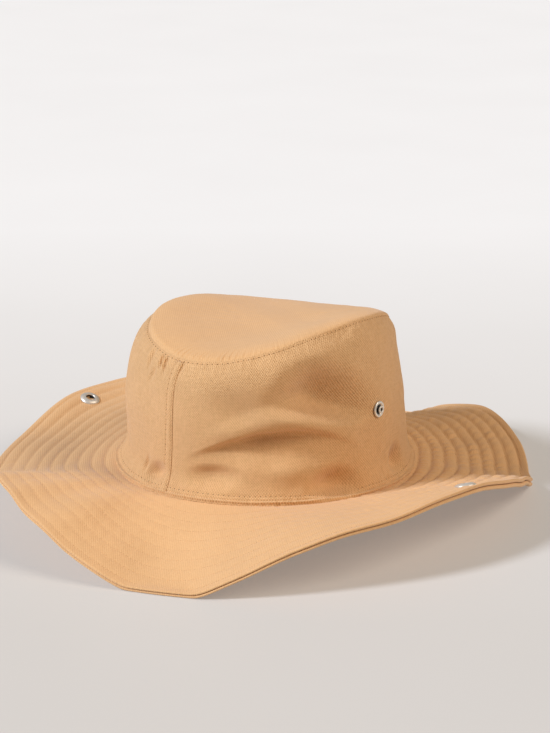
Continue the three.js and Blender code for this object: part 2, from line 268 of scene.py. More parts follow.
# Sharper creases in those folds, and the pinched cloth beside the front seam, in the same columns
SIDE_CREASES = table(
    FOLD_COLUMNS,
    (318, 31, 0.44, 0.04, 0.08, 0.11, 0, 0, 0.009),
    (260.2, 1.3, 0.965, 0.04, 0.09, 0, 0, -28, 0.014),
    (263.4, 1.4, 0.96, 0.04, 0.1, 0, 0, -28, 0.017),
    (252.5, 2.4, 0.95, 0.05, 0.13, 0, 0, -20, 0.01),
    (258.5, 2.5, 0.85, 0.08, 0.12, 0, 0, 23, 0.008),
    (274.5, 1.5, 0.96, 0.05, 0.1, 0, 0, 10, 0.005),
    (258.5, 1.8, 0.15, 0.1, 0.1, 0, 0, 15, 0.009),
    (150, 24, 0.36, 0.03, 0.07, 0.05, 0, 0, 0.005),
    (60, 18, 0.4, 0.03, 0.07, -0.03, 0, 0, 0.005),
)

# Soft bends across the brim: middle and half width in degrees, and depth in millimetres, negative where
# the brim rises
BRIM_BENDS = table(
    "turn half_turn depth",
    (238, 5, 0.8), (247, 3.5, 1.2), (256, 4, 1), (264, 6, -2.8), (284, 8, 2.4), (299, 4, -0.8), (6, 9, 2),
    (18, 3, 0.8), (28, 2.5, 0.7), (44, 3, 0.6), (62, 3.5, 0.4), (140, 6, 0.7), (168, 5, 0.5),
)

# What changes around the hat: its least, then how much more it is in each stretch, with the middle and
# half width of that stretch in degrees. Seam, quilting, hollow and holes are shares, the rest millimetres
VARIED = {
    "tip fullness": (0, (2.6, 48, 36)),
    "tip gathers": (0.12, (0.34, 290, 35)),
    "tip ridge": (0.05, (0.25, 260, 60)),
    "seam depth": (0.5, (3, 225, 38)),
    "quilting": (0.25, (2.3, 35, 50), (1.25, 206, 48)),
    "brim gathers": (0.06, (0.42, 35, 50)),
    "brim edge": (0.12, (0.2, 0, 50)),
    "brim hollow": (0, (1, 178, 38)),
    "socket tilt": (0, (2.4, 180, 11)),
    # How big the flat dark dots of painted shade at the needle holes are around the hat.
    "needle holes": (0.25, (0.9, 20, 60), (0.45, 225, 35)),
}

# Unevenness of worn cloth, in millimetres: its height, its shortest and longest wave, and its seed
WEAR = {
    "side": (0.35, 18, 45, 11),
    "side, fine": (0.05, 4, 9, 12),
    "tip": (0.4, 30, 70, 21),
    "tip, fine": (0.06, 5, 12, 22),
    "brim": (0.4, 30, 80, 31),
}

# Gathers along a seam: their reach in millimetres, about how many there are around the hat, and their seed
GATHERS = {"side top": (5, 105, 13), "side base": (6, 110, 14), "tip": (4.5, 190, 23)}

# The crown's side: its rough half width and half length, its girth for each radian of turn as a share of
# its base's length, and how far down its fine unevenness reaches
SIDE_HALF_WIDTH = 80 * MM
SIDE_HALF_LENGTH = 90 * MM
GIRTH_SHARE = 1 / 2.2
FINE_REACH = 30 * MM
# Height of its gathers; height, and place and half width, of the ridge under the tip's seam
SIDE_GATHER = 0.16 * MM
SEAM_RIDGE = 0.2 * MM
SEAM_RIDGE_WIDTH = 1 * MM
# The crease above the rolled edge: its depth in grooves, how far above the roll, and its half width
ROLL_CREASE = 1.2
ROLL_CREASE_ABOVE = 0.3 * MM
ROLL_CREASE_WIDTH = 0.5 * MM
# Place and half width of the ridge inside the tip's seam
TIP_RIDGE_INWARD = 2 * MM
TIP_RIDGE_WIDTH = 1.3 * MM

# Where the side and the tip start to close on their seam, as shares of the way across
SIDE_CLOSES = 0.93
TIP_CLOSES = 0.975

# The brim's gathers: their number around the hat, their first seed, their slant in radians for each row,
# and how far in from the edge they reach their full height
BRIM_GATHERS = 105
BRIM_GATHER_SEED = 40
GATHER_SLANT = 0.02
GATHER_RISE = 10 * MM
# Half width of the thicker edge, and how far the bends lean in radians from seam to edge
EDGE_WIDTH = 2.2 * MM
BEND_LEAN = 0.06
# The brim's hollow on the wearer's right: its depth, and the depth and reach of its drooping edge
BRIM_HOLLOW = 3.2 * MM
EDGE_DROOP = 1.4 * MM
EDGE_DROOP_REACH = 5 * MM
# How far from the socket the brim tilts with it
TILT_REACH = 11 * MM
# How softly the brim settles and how far it then drops, shares of its settling; how softly it meets the
# floor
SETTLE_SOFTNESS = 0.8
SETTLE_DROP = 0.12
FLOOR_SOFTNESS = 0.5 * MM


def smooth(at, knots, values):
    """Values at any places, on a smooth curve through the values at the knots."""
    slopes = np.empty_like(values)
    slopes[1:-1] = (values[2:] - values[:-2]) / (knots[2:] - knots[:-2])
    slopes[0] = (values[1] - values[0]) / (knots[1] - knots[0])
    slopes[-1] = (values[-1] - values[-2]) / (knots[-1] - knots[-2])
    start = np.clip(np.searchsorted(knots, at, side="right") - 1, 0, len(knots) - 2)
    span = knots[start + 1] - knots[start]
    part = (at - knots[start]) / span
    square, cube = part ** 2, part ** 3
    return (
        (2 * cube - 3 * square + 1) * values[start] + (cube - 2 * square + part) * span * slopes[start]
        + (3 * square - 2 * cube) * values[start + 1] + (cube - square) * span * slopes[start + 1]
    )


def around(column, turn):
    """Value of a column of DIRECTIONS at any turn."""
    knots, values = DIRECTIONS["turn"], DIRECTIONS[column]
    return smooth(
        np.degrees(turn) % 360,
        np.array([knots[-1] - 360, *knots, knots[0] + 360, knots[1] + 360]),
        np.array([values[-1], *values, values[0], values[1]]),
    )


def fold_depth(folds, turn, rise):
    """Depth of a table's folds at a place on the crown's side, as a share of the base's width."""
    total = 0
    for middle, half_turn, middle_rise, above, below, drop, tilt, lean, depth in zip(*folds.values()):
        degrees = np.degrees(turn) - middle - lean * (rise - middle_rise)
        degrees = degrees - 360 * np.round(degrees / 360)
        across = degrees / half_turn
        up = rise - middle_rise + drop * across ** 2 - tilt * degrees
        up = up / np.where(up > 0, above, below)
        distance = np.minimum(np.hypot(across, up), 1)
        total = total + depth * (1 + np.cos(np.pi * distance)) / 2
    return total


def unevenness(x, y, shortest, longest, seed):
    """Gentle unevenness of worn cloth, a sum of seeded waves, mostly from -1 to 1."""
    draw = np.random.default_rng(seed)
    waves = 9
    total = 0
    for _ in range(waves):
        heading, phase = draw.uniform(0, math.tau, 2)
        wave = draw.uniform(shortest, longest)
        total = total + np.sin(math.tau * (x * math.cos(heading) + y * math.sin(heading)) / wave + phase)
    return total / math.sqrt(waves)


def puckers(turn, count, seed):
    """Uneven small gathers, about count of them around the hat, mostly from -1 to 1."""
    draw = np.random.default_rng(seed)
    waves = 7
    total = 0
    for _ in range(waves):
        times = draw.integers(int(0.55 * count), int(1.45 * count))
        total = total + np.sin(times * turn + draw.uniform(0, math.tau))
    return total / math.sqrt(waves)


def bump(distance, half_width):
    """1 at no distance, falling softly to nothing past the half width."""
    return np.exp(-(distance / half_width) ** 2)


def beside_turn(turn, middle, half_width):
    """1 at a turn in degrees, falling softly to nothing past the half width in degrees."""
    return bump(np.angle(np.exp(1j * (turn - math.radians(middle)))), math.radians(half_width))


def varied(name, turn):
    """Value of a row of VARIED at any turn."""
    least, *stretches = VARIED[name]
    return least + sum(more * beside_turn(turn, middle, half_turn) for more, middle, half_turn in stretches)


def wear(name, x, y):
    """Unevenness of a row of WEAR at any place, in metres."""
    height, shortest, longest, seed = WEAR[name]
    return height * MM * unevenness(x, y, shortest * MM, longest * MM, seed)


def gathers(name, turn, distance):
    """Gathers of a row of GATHERS, dying away with the distance from their seam."""
    reach, count, seed = GATHERS[name]
    return puckers(turn, count, seed) * np.exp(-distance / (reach * MM))


def held_up(height, softness):
    """A height that bends softly to stay above nothing."""
    return (height + np.hypot(height, softness)) / 2


def points(x, y, z):
    """Points as one array, with x, y and z last."""
    return np.stack(np.broadcast_arrays(x, y, z), -1)


# The hat's surfaces

class HatForm:
    """The surfaces of the cloth at any turn (radians around the hat) and share of the way across."""

    def __init__(self, context):
        scene = context.scene
        self.sizes = scene.hat_sizes
        self.sewing = scene.hat_sewing
        self.snaps = scene.hat_snaps
        self.stack = 2 * self.sizes.cloth + self.sizes.gap
        ring = np.radians(np.arange(0, 360, 5))
        self.rest = self.brim_fall(ring, 1.0)[..., 2].min() - self.stack + self.sizes.brim_settle
        self.saddle = self.tip_rim(ring)[..., 2].mean()
        self.table_turns = np.radians(np.arange(0, 361, 2))
        self.table_rises = np.linspace(0, 1, 201)
        grid = self.side(self.table_turns, self.table_rises[:, None])
        steps = np.linalg.norm(np.diff(grid, axis=0), axis=-1)
        self.climbs = np.vstack([np.zeros(len(self.table_turns)), np.cumsum(steps, axis=0)])

    def base(self, turn):
        """Seam of crown and brim."""
        s = self.sizes
        return points(
            np.cos(turn) * s.base_width / 2,
            np.sin(turn) * s.base_length / 2,
            around("seam", turn) * s.brim_width,
        )

    def outward(self, turn):
        """Level direction that leaves the crown's base squarely."""
        ray = points(np.cos(turn) / self.sizes.base_width, np.sin(turn) / self.sizes.base_length, 0.0)
        return ray / np.linalg.norm(ray, axis=-1, keepdims=True)

    def brim_fall(self, turn, share):
        """Upper face of the brim before it settles."""
        turn, share = np.broadcast_arrays(turn, share)
        curl = np.radians(around("curl", turn))
        slope = np.radians(around("slope", turn)) + curl * (share - 1) / 2
        along = self.sizes.brim_width * around("reach", turn) * share
        place = self.base(turn) + self.outward(turn) * (along * np.cos(slope))[..., None]
        place[..., 2] += along * np.sin(slope)
        return place

    def brim(self, turn, share, depth=0.0):
        """Brim at a depth below its upper face, settling softly where it rests."""
        place = self.brim_fall(turn, share)
        clear = place[..., 2] - self.rest - self.stack
        settle = self.sizes.brim_settle
        settled = held_up(clear, SETTLE_SOFTNESS * settle) - SETTLE_DROP * settle
        place[..., 2] = settled + self.rest + self.stack - depth
        return place

    def from_edge(self, turn, share):
        """Distance in from the brim's edge."""
        return (1 - share) * self.sizes.brim_width * around("reach", turn)

    def tip_rim(self, turn):
        """Seam of side and tip."""
        s = self.sizes
        return points(
            np.cos(turn) * s.tip_width / 2 + s.tip_left,
            np.sin(turn) * s.tip_length / 2 + s.tip_back,
            around("tip", turn) * s.crown_height,
        )

    def side(self, turn, rise):
        """Outer face of the crown's side, with its broad folds."""
        turn, rise = np.broadcast_arrays(turn, rise)
        base, top = self.base(turn), self.tip_rim(turn)
        base[..., 2] += self.sizes.gap
        top[..., 2] -= self.sizes.cloth + self.sizes.gap
        inset = smooth(rise, SIDE_SECTIONS["rise"], SIDE_SECTIONS["inset"])
        place = base + (top - base) * inset[..., None]
        place[..., 2] = base[..., 2] + (top[..., 2] - base[..., 2]) * rise
        depth = fold_depth(SIDE_FOLDS, turn, rise) * self.sizes.base_width
        return place - self.outward(turn) * depth[..., None]

    def girth(self, turn):
        """Distance around the side for each radian of turn, halfway up."""
        step = 0.01
        return np.linalg.norm(self.side(turn + step, 0.5) - self.side(turn, 0.5)) / step

    def climb(self, turn, rise):
        """Distance up the cloth of the side, from the crown's base."""
        column = (np.degrees(turn) % 360) / 2
        row = np.clip(rise, 0, 1) * (len(self.table_rises) - 1)
        column, row = np.broadcast_arrays(column, row)
        left = np.minimum(column.astype(int), len(self.table_turns) - 2)
        low = np.minimum(row.astype(int), len(self.table_rises) - 2)
        x, y = column - left, row - low
        t = self.climbs
        return (
            (t[low, left] * (1 - x) + t[low, left + 1] * x) * (1 - y)
            + (t[low + 1, left] * (1 - x) + t[low + 1, left + 1] * x) * y
        )

    def rise_at(self, turn, distance):
        """Share of the side's height at a distance up the cloth, or down from the tip if negative."""
        whole = self.climb(turn, 1.0)
        wanted = np.where(distance < 0, whole + distance, distance)
        low, high = np.zeros_like(turn), np.ones_like(turn)
        for _ in range(30):
            middle = (low + high) / 2
            short = self.climb(turn, middle) < wanted
            low, high = np.where(short, middle, low), np.where(short, high, middle)
        return (low + high) / 2

    def tip(self, turn, share):
        """Upper face of the tip, a saddle that rounds over at its seam."""
        s = self.sizes
        turn, share = np.broadcast_arrays(turn, share)
        rim = self.tip_rim(turn)
        middle = np.array([s.tip_left, s.tip_back, self.saddle])
        place = middle + (rim - middle) * share[..., None]
        sideways = share * np.cos(turn)
        place[..., 2] = (
            self.saddle + (rim[..., 2] - self.saddle) * share ** 2
            + s.tip_rounding * (1 - share ** 11)
            - s.tip_valley * (1 - share ** 2) * (1 - sideways ** 2)
        )
        return place

    # The same faces with their seams, gathers and creases

    def side_relief(self, turn, rise):
        """How far the side's cloth stands out from its broad form."""
        w = self.sewing
        up = self.climb(turn, rise)
        down = self.climb(turn, 1.0) - up
        relief = -fold_depth(SIDE_CREASES, turn, rise) * self.sizes.base_width
        relief = relief + wear("side", np.cos(turn) * SIDE_HALF_WIDTH + up, np.sin(turn) * SIDE_HALF_LENGTH)
        girth = turn * self.sizes.base_length * GIRTH_SHARE
        relief = relief + wear("side, fine", girth, up) * bump(down, FINE_REACH)
        relief = relief + SIDE_GATHER * (gathers("side top", turn, down) + gathers("side base", turn, up))
        relief = relief + SEAM_RIDGE * bump(down - SEAM_RIDGE_WIDTH, SEAM_RIDGE_WIDTH)
        rows = bump(down - w.tip_row, w.groove_width) + bump(up - w.base_row, w.groove_width)
        roll = np.clip((up - w.base_recess) / w.base_roll, 0, 1)
        rolled = w.roll_height * np.sqrt(np.maximum(0, 1 - (2 * roll - 1) ** 2))
        above_roll = up - w.base_recess - w.base_roll - ROLL_CREASE_ABOVE
        crease = ROLL_CREASE * bump(above_roll, ROLL_CREASE_WIDTH)
        return relief + rolled - w.groove * (rows + crease)

    def tip_relief(self, turn, share):
        """How far the tip's cloth stands out from its broad form."""
        place = self.tip(turn, share)
        x, y = place[..., 0], place[..., 1]
        from_rim = (1 - share) * self.sizes.tip_width / 2
        relief = (wear("tip", x, y) + wear("tip, fine", x, y)) * (1 - share ** 6)
        relief = relief + varied("tip fullness", turn) * MM * share ** 2 * (1 - share ** 4)
        relief = relief + varied("tip gathers", turn) * MM * gathers("tip", turn, from_rim)
        return relief + varied("tip ridge", turn) * MM * bump(from_rim - TIP_RIDGE_INWARD, TIP_RIDGE_WIDTH)

    def brim_relief(self, turn, share):
        """Swelling of the brim's cloth between its rings of stitching."""
        w = self.sewing
        last = w.brim_rows - 1
        inward = self.from_edge(turn, share)
        place = (inward - w.first_row) / w.row_spacing
        nearest = np.clip(np.round(place), 0, last)
        groove = bump((place - nearest) * w.row_spacing, w.groove_width)
        # The cloth swells between two rings, and rises from the first and the last one
        before = np.sin(np.pi * np.clip(-place, 0, 0.5))
        after = np.sin(np.pi * np.clip(place - last, 0, 0.5))
        between = np.abs(np.sin(np.pi * np.clip(place, 0, last)))
        swell = np.where(place < 0, before, np.where(place > last, after, between))
        band = np.floor(place)
        gather = np.zeros_like(place)
        for ring in range(-1, w.brim_rows):
            slant = turn + GATHER_SLANT * (place - ring)
            gather = np.where(band == ring, puckers(slant, BRIM_GATHERS, BRIM_GATHER_SEED + ring), gather)
        gathered = varied("brim gathers", turn) * MM * np.clip(inward / GATHER_RISE, 0, 1) * gather * swell
        edge = varied("brim edge", turn) * MM * bump(inward, EDGE_WIDTH)
        return varied("quilting", turn) * (w.quilting * swell - w.groove * groove) + gathered + edge

    def brim_waves(self, turn, share):
        """Slight waves that both layers of the brim share."""
        place = self.brim_fall(turn, share)
        waves = wear("brim", place[..., 0], place[..., 1])
        for middle, half_turn, depth in zip(*BRIM_BENDS.values()):
            waves = waves - depth * MM * beside_turn(turn - BEND_LEAN * (share - 0.5), middle, half_turn)
        inward = self.from_edge(turn, share)
        hollow = BRIM_HOLLOW * np.sin(np.pi * np.clip(share, 0, 1))
        hollow = hollow + EDGE_DROOP * np.clip(1 - inward / EDGE_DROOP_REACH, 0, 1) ** 2
        beyond = self.snaps.socket_inset - inward
        tilt = varied("socket tilt", turn) * MM * beyond / TILT_REACH * bump(beyond, TILT_REACH)
        return waves * np.clip(share * 2, 0, 1) - hollow * varied("brim hollow", turn) + tilt

    def place(self, spots):
        """Spots in the frame of the whole hat, on its floor."""
        return spots + np.array([self.sizes.place[0], self.sizes.place[1], -self.rest])

    def seam_depth(self, turn):
        """How deep the tip's seam lies between the two cloths, deepest at the wearer's front right."""
        return self.sewing.seam_depth * varied("seam depth", turn)

    def side_cloth(self, turn, rise, lift=0.0):
        """Side with its relief and a lift along its normal, drawn up against the tip at its seam."""
        turn, rise = np.broadcast_arrays(turn, rise)
        closing = np.clip((rise - SIDE_CLOSES) / (1 - SIDE_CLOSES), 0, 1)
        relief = self.side_relief(turn, rise) * (1 - closing ** 4) + lift
        place = self.side(turn, rise) + normals(self.side, turn, rise) * relief[..., None]
        place[..., 2] += (self.sizes.cloth + self.sizes.gap - self.seam_depth(turn)) * closing ** 2
        return place

    def tip_cloth(self, turn, share, lift=0.0):
        """Tip with its relief and a lift straight up, drawn down into its seam."""
        turn, share = np.broadcast_arrays(turn, share)
        closing = np.clip((share - TIP_CLOSES) / (1 - TIP_CLOSES), 0, 1)
        relief = self.tip_relief(turn, share) * (1 - closing ** 4) + lift
        place = self.tip(turn, share)
        place[..., 2] += relief - self.seam_depth(turn) * closing ** 3
        return place

    def brim_cloth(self, turn, share, depth=0.0, lift=0.0):
        """Brim at a depth below its upper face, with its waves and a lift along its normal.

        Each face keeps its own height off the floor, so the cloth keeps its thickness where it rests.
        """
        turn, share = np.broadcast_arrays(turn, share)
        relief = np.asarray(self.brim_waves(turn, share) + lift)
        place = self.brim(turn, share, depth) - normals(self.brim_fall, turn, share) * relief[..., None]
        lowest = self.rest + self.stack - depth
        place[..., 2] = lowest + held_up(place[..., 2] - lowest, FLOOR_SOFTNESS)
        return place


def normals(face, turn, share):
    """Directions square to a face. They point outward on the crown's side and down on tip and brim."""
    step = 0.002
    across = face(turn + step, share) - face(turn - step, share)
    along = face(turn, share + step) - face(turn, share - step)
    normal = np.cross(across, along)
    return normal / np.linalg.norm(normal, axis=-1, keepdims=True)


# Meshes

def mesh_piece(
    name, spots, flat, closes_rows, closes_columns, material, replaced=(), caps=False, sharp=None,
):
    """A piece from a grid of points, with their flat places as a UV map."""
    rows, columns = spots.shape[:2]
    index = np.arange(rows * columns).reshape(rows, columns)
    if closes_rows:
        index = np.vstack([index, index[:1]])
        flat = np.vstack([flat, flat[:1]])
    if closes_columns:
        index = np.hstack([index, index[:, :1]])
        flat = np.hstack([flat, flat[:, :1]])
    corners = [(0, 0), (0, 1), (1, 1), (1, 0)]
    high, wide = index.shape[0] - 1, index.shape[1] - 1
    quads = np.stack([index[r:r + high, c:c + wide] for r, c in corners], -1).reshape(-1, 4)
    places = np.stack([flat[r:r + high, c:c + wide] for r, c in corners], 2).reshape(-1, 2)
    faces = quads.tolist()
    if caps:
        faces += [index[:-1, 0].tolist(), index[:-1, -1].tolist()]
        places = np.vstack([places, flat[:-1, 0], flat[:-1, -1]])
    mesh = bpy.data.meshes.new(name)
    mesh.from_pydata(spots.reshape(-1, 3).tolist(), [], faces)
    layer = mesh.uv_layers.new(name="flat")
    layer.uv.foreach_set("vector", places.astype(np.float32).ravel())
    return finished(name, mesh, material, replaced, sharp)


def finished(name, mesh, material, replaced=(), sharp=None):
    """Cleans a mesh, makes it an object and ties it to the frame."""
    work = bmesh.new()
    work.from_mesh(mesh)
    bmesh.ops.remove_doubles(work, verts=work.verts, dist=1e-6)
    bmesh.ops.recalc_face_normals(work, faces=work.faces)
    for face in work.faces:
        face.smooth = True
    if sharp is not None:
        for edge in work.edges:
            edge.smooth = edge.calc_face_angle(0) < sharp
    work.to_mesh(mesh)
    work.free()
    piece = bpy.data.objects.new(name, mesh)
    bpy.context.scene.collection.objects.link(piece)
    mesh.materials.append(material)
    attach(piece, "root")
    if replaced:
        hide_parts(*replaced)
    return piece


def rounded(face, back, steps=4):
    """Rows that round the edge where a face's last row turns over to its back."""
    middle = (face[-1] + back[-1]) / 2
    half = (face[-1] - back[-1]) / 2
    leaving = face[-1] - face[-2]
    leaving = leaving / np.linalg.norm(leaving, axis=-1, keepdims=True)
    leaving = leaving * np.linalg.norm(half, axis=-1, keepdims=True)
    turns = np.linspace(0, np.pi, steps + 2)[1:-1]
    return np.array([middle + half * math.cos(a) + leaving * math.sin(a) for a in turns])


def shell(face, back, flat, back_flat, rounds_start):
    """A closed section through cloth and its flat places: up its face, over the edge, and back down."""
    over = rounded(face, back)
    rows = [face, over, back[::-1]]
    places = [flat, np.repeat(flat[-1:], len(over), 0), back_flat[::-1]]
    if rounds_start:
        under = rounded(face[::-1], back[::-1])[::-1]
        rows.append(under)
        places.append(np.repeat(flat[:1], len(under), 0))
    return np.concatenate(rows), np.concatenate(places)


def seam_line(spots, up, pitch, closed):
    """Evenly spaced places along a line of points, with directions along it, beside it and up from it."""
    if closed:
        spots = np.vstack([spots, spots[:1]])
        up = np.vstack([up, up[:1]])
    steps = np.linalg.norm(np.diff(spots, axis=0), axis=1)
    run = np.concatenate([[0], np.cumsum(steps)])
    count = max(1, round(run[-1] / pitch))
    spacing = run[-1] / count

    def at(places, values):
        return np.stack([np.interp(places, run, values[:, axis]) for axis in range(3)], -1)

    def frames(places):
        ahead = at(np.minimum(places + spacing / 3, run[-1]), spots)
        behind = at(np.maximum(places - spacing / 3, 0), spots)
        along = ahead - behind
        along /= np.linalg.norm(along, axis=1, keepdims=True)
        beside = np.cross(at(places, up), along)
        beside /= np.linalg.norm(beside, axis=1, keepdims=True)
        return at(places, spots), along, beside, np.cross(along, beside)

    return spacing, frames((np.arange(count) + 0.5) * spacing), frames(np.arange(count) * spacing)


# Sides of a stitch and of a needle hole's dark dot of painted shade, and half a stitch's length as a share
# of the pitch
STITCH_SIDES = 5
HOLE_SHADE_SIDES = 6
STITCH_HALF = 0.4
# Rings of one stitch: place along its half length, thickness, and how far it stands up or dips
STITCH_RINGS = ((-1.0, 0.45, -1.2), (0.0, 1.05, 0.15), (1.0, 0.45, -1.2))
# Rings of one needle hole's flat dark dot of painted shade: radius and height, shares of its radius
HOLE_SHADE_RINGS = ((1.0, -0.15), (0.6, 0.2))


def tubes(rings, sides):
    """Points and faces of many like pieces. Each ring is an array of its points, one row for each piece."""
    spots = np.stack([spot for ring in rings for spot in ring], 1)
    pattern = [
        (ring * sides + side, ring * sides + (side + 1) % sides,
         (ring + 1) * sides + (side + 1) % sides, (ring + 1) * sides + side)
        for ring in range(len(rings) - 1) for side in range(sides)
    ]
    each = len(rings) * sides
    lids = [list(range(sides))[::-1], list(range(each - sides, each))]
    starts = (np.arange(len(spots)) * each)[:, None, None]
    quads = (np.array(pattern)[None] + starts).reshape(-1, 4)
    ends = (np.array(lids)[None] + starts).reshape(-1, sides)
    return spots.reshape(-1, 3), quads.tolist() + ends.tolist()


def stitch_row(spots, up, sewing, closed=True, pull=1.0):
    """Stitches, and flat dark dots of painted shade at their needle holes, along a line of points, as two
    lists of points and faces; pull scales those dots.
    """
    spacing, stitches, holes = seam_line(spots, up, sewing.pitch, closed)
    middle, along, beside, above = stitches
    half, radius = spacing * STITCH_HALF, sewing.thread / 2
    turns = [math.tau * side / STITCH_SIDES for side in range(STITCH_SIDES)]
    rings = [
        [middle + along * half * place + above * radius * dip
         + (beside * math.cos(turn) + above * math.sin(turn)) * radius * thick for turn in turns]
        for place, thick, dip in STITCH_RINGS
    ]
    # The needle holes are flat dark discs of painted shade, for the shade inside each hole.
    middle, along, beside, above = holes
    pulls = np.broadcast_to(pull, len(spots))
    pulls = np.interp(np.linspace(0, 1, len(middle)), np.linspace(0, 1, len(spots)), pulls)
    radius = pulls[:, None] * sewing.hole / 2
    turns = [math.tau * side / HOLE_SHADE_SIDES for side in range(HOLE_SHADE_SIDES)]
    dots = [
        [middle + (along * math.cos(turn) + beside * math.sin(turn)) * radius * wide + above * radius * high
         for turn in turns]
        for wide, high in HOLE_SHADE_RINGS
    ]
    return tubes(rings, STITCH_SIDES), tubes(dots, HOLE_SHADE_SIDES)


def joined(name, parts, material):
    """One piece from several lists of points and faces."""
    spots, faces, start = [], [], 0
    for part_spots, part_faces in parts:
        spots.append(part_spots)
        faces += [[corner + start for corner in face] for face in part_faces]
        start += len(part_spots)
    mesh = bpy.data.meshes.new(name)
    mesh.from_pydata(np.concatenate(spots).tolist(), [], faces)
    return finished(name, mesh, material)


def stitching(name, rows, context):
    """The stitches of several rows as one piece, and the dark marks of painted shade at their needle holes
    as another.
    """
    joined(f"{name}_stitches", [stitches for stitches, _ in rows], thread_material(context))
    joined(f"{name}_holes", [holes for _, holes in rows], hole_shade_material(context))


def turned(name, profile, place, material, steps=56):
    """A turned metal piece from its profile of radius and height, which its UV map keeps."""
    profile = np.array(profile)
    turns = np.arange(steps) * math.tau / steps
    spots = points(profile[:, :1] * np.cos(turns), profile[:, :1] * np.sin(turns), profile[:, 1:])
    spots = spots @ np.array(place.to_3x3()).T + np.array(place.translation)
    flat = np.repeat(profile[:, None], steps, 1)
    replaced = (name.removesuffix("_metal"),)
    return mesh_piece(
        name, spots, flat, False, True, material, replaced, sharp=math.radians(50),
    )


# Shader node groups and materials

class Nodes:
    """Short calls for making and linking nodes."""

    def __init__(self, tree):
        self.tree = tree

    def add(self, kind, inputs=None, **settings):
        node = self.tree.nodes.new(kind)
        for key, value in settings.items():
            setattr(node, key, value)
        for key, value in (inputs or {}).items():
            self.feed(node.inputs[key], value)
        return node

    def feed(self, socket, value):
        if isinstance(value, bpy.types.NodeSocket):
            self.tree.links.new(value, socket)
        else:
            socket.default_value = value

    def math(self, operation, a, b=0.0, c=0.0, clamp=False):
        node = self.add("ShaderNodeMath", {0: a, 1: b, 2: c}, operation=operation, use_clamp=clamp)
        return node.outputs[0]

    def mix(self, factor, a, b, blend="MIX"):
        node = self.add("ShaderNodeMix", data_type="RGBA", blend_type=blend)
        for socket, value in ((0, factor), (6, a), (7, b)):
            self.feed(node.inputs[socket], value)
        return node.outputs[2]

    def range(self, value, low, high, new_low, new_high):
        node = self.add("ShaderNodeMapRange", {0: value, 1: low, 2: high, 3: new_low, 4: new_high})
        return node.outputs[0]

    def noise(self, vector, scale, detail=2.0, roughness=0.5):
        inputs = {"Vector": vector, "Scale": scale, "Detail": detail, "Roughness": roughness}
        return self.add("ShaderNodeTexNoise", inputs).outputs["Fac"]

    def own_space(self):
        """Places on the piece itself."""
        return self.add("ShaderNodeTexCoord").outputs["Object"]

    def placed(self, group, **inputs):
        """Outputs of a node group with its inputs filled."""
        return self.add("ShaderNodeGroup", inputs, node_tree=group).outputs

    def toned(self, colour, tone):
        """A colour made lighter or darker by a tone around 1."""
        grey = self.add("ShaderNodeCombineColor", {0: tone, 1: tone, 2: tone})
        return self.mix(1.0, colour, grey.outputs[0], "MULTIPLY")


def node_group(name, inputs, outputs):
    """An empty node group with named sockets. Inputs are (name, kind, default)."""
    group = bpy.data.node_groups.new(name, "ShaderNodeTree")
    for socket, kind, default in inputs:
        made = group.interface.new_socket(socket, in_out="INPUT", socket_type=kind)
        if default is not None:
            made.default_value = default
    for socket, kind in outputs:
        group.interface.new_socket(socket, in_out="OUTPUT", socket_type=kind)
    made = Nodes(group)
    return made, made.add("NodeGroupInput").outputs, made.add("NodeGroupOutput").inputs


def weave_group():
    """Diagonal ribs of twill, crossed by its yarns, with slubs."""
    name = "Twill weave"
    if name in bpy.data.node_groups:
        return bpy.data.node_groups[name]
    n, given, made = node_group(
        name,
        [("Vector", "NodeSocketVector", None), ("Pitch", "NodeSocketFloat", 0.001),
         ("Slubs", "NodeSocketFloat", 0.5)],
        [("Yarns", "NodeSocketFloat"), ("Height", "NodeSocketFloat")],
    )
    scaled = n.add("ShaderNodeVectorMath", {0: given["Vector"]}, operation="SCALE")
    n.feed(scaled.inputs["Scale"], n.math("DIVIDE", 1.0, given["Pitch"]))
    wobble = n.noise(scaled.outputs[0], 0.35)
    split = n.add("ShaderNodeSeparateXYZ", {0: scaled.outputs[0]})
    x, y = split.outputs[0], split.outputs[1]
    diagonal = n.math("ADD", n.math("ADD", x, y), n.math("MULTIPLY", wobble, 0.5))
    ribs = n.math("SINE", n.math("MULTIPLY", diagonal, math.tau))
    crossing = n.math("SINE", n.math("MULTIPLY", n.math("SUBTRACT", x, y), math.tau))

    def stretched(along_x, along_y):
        place = {0: n.math("MULTIPLY", x, along_x), 1: n.math("MULTIPLY", y, along_y)}
        return n.noise(n.add("ShaderNodeCombineXYZ", place).outputs[0], 1.0, 1.0)

    slubs = n.math("ADD", stretched(1.3, 0.3), stretched(0.3, 1.3))
    slubs = n.math("MULTIPLY", n.math("SUBTRACT", slubs, 1.0), given["Slubs"])
    woven = n.math("ADD", n.math("MULTIPLY", ribs, 0.34), n.math("MULTIPLY", crossing, 0.22))
    height = n.math("ADD", n.math("ADD", woven, 0.5), slubs)
    n.feed(made["Yarns"], n.math("ADD", height, 0.0, clamp=True))
    n.feed(made["Height"], height)
    return n.tree


def mottle_group():
    """Slow unevenness of dye or wear, and its fine grain."""
    name = "Mottling"
    if name in bpy.data.node_groups:
        return bpy.data.node_groups[name]
    n, given, made = node_group(
        name,
        [("Vector", "NodeSocketVector", None), ("Size", "NodeSocketFloat", 0.03),
         ("Grain", "NodeSocketFloat", 0.001)],
        [("Patches", "NodeSocketFloat"), ("Grain", "NodeSocketFloat")],
    )
    broad = n.noise(given["Vector"], n.math("DIVIDE", 1.0, given["Size"]), 4.0, 0.55)
    fine = n.noise(given["Vector"], n.math("DIVIDE", 1.0, given["Grain"]), 2.0, 0.6)
    n.feed(made["Patches"], n.range(broad, 0.3, 0.7, 0.0, 1.0))
    n.feed(made["Grain"], n.range(fine, 0.25, 0.75, 0.0, 1.0))
    return n.tree


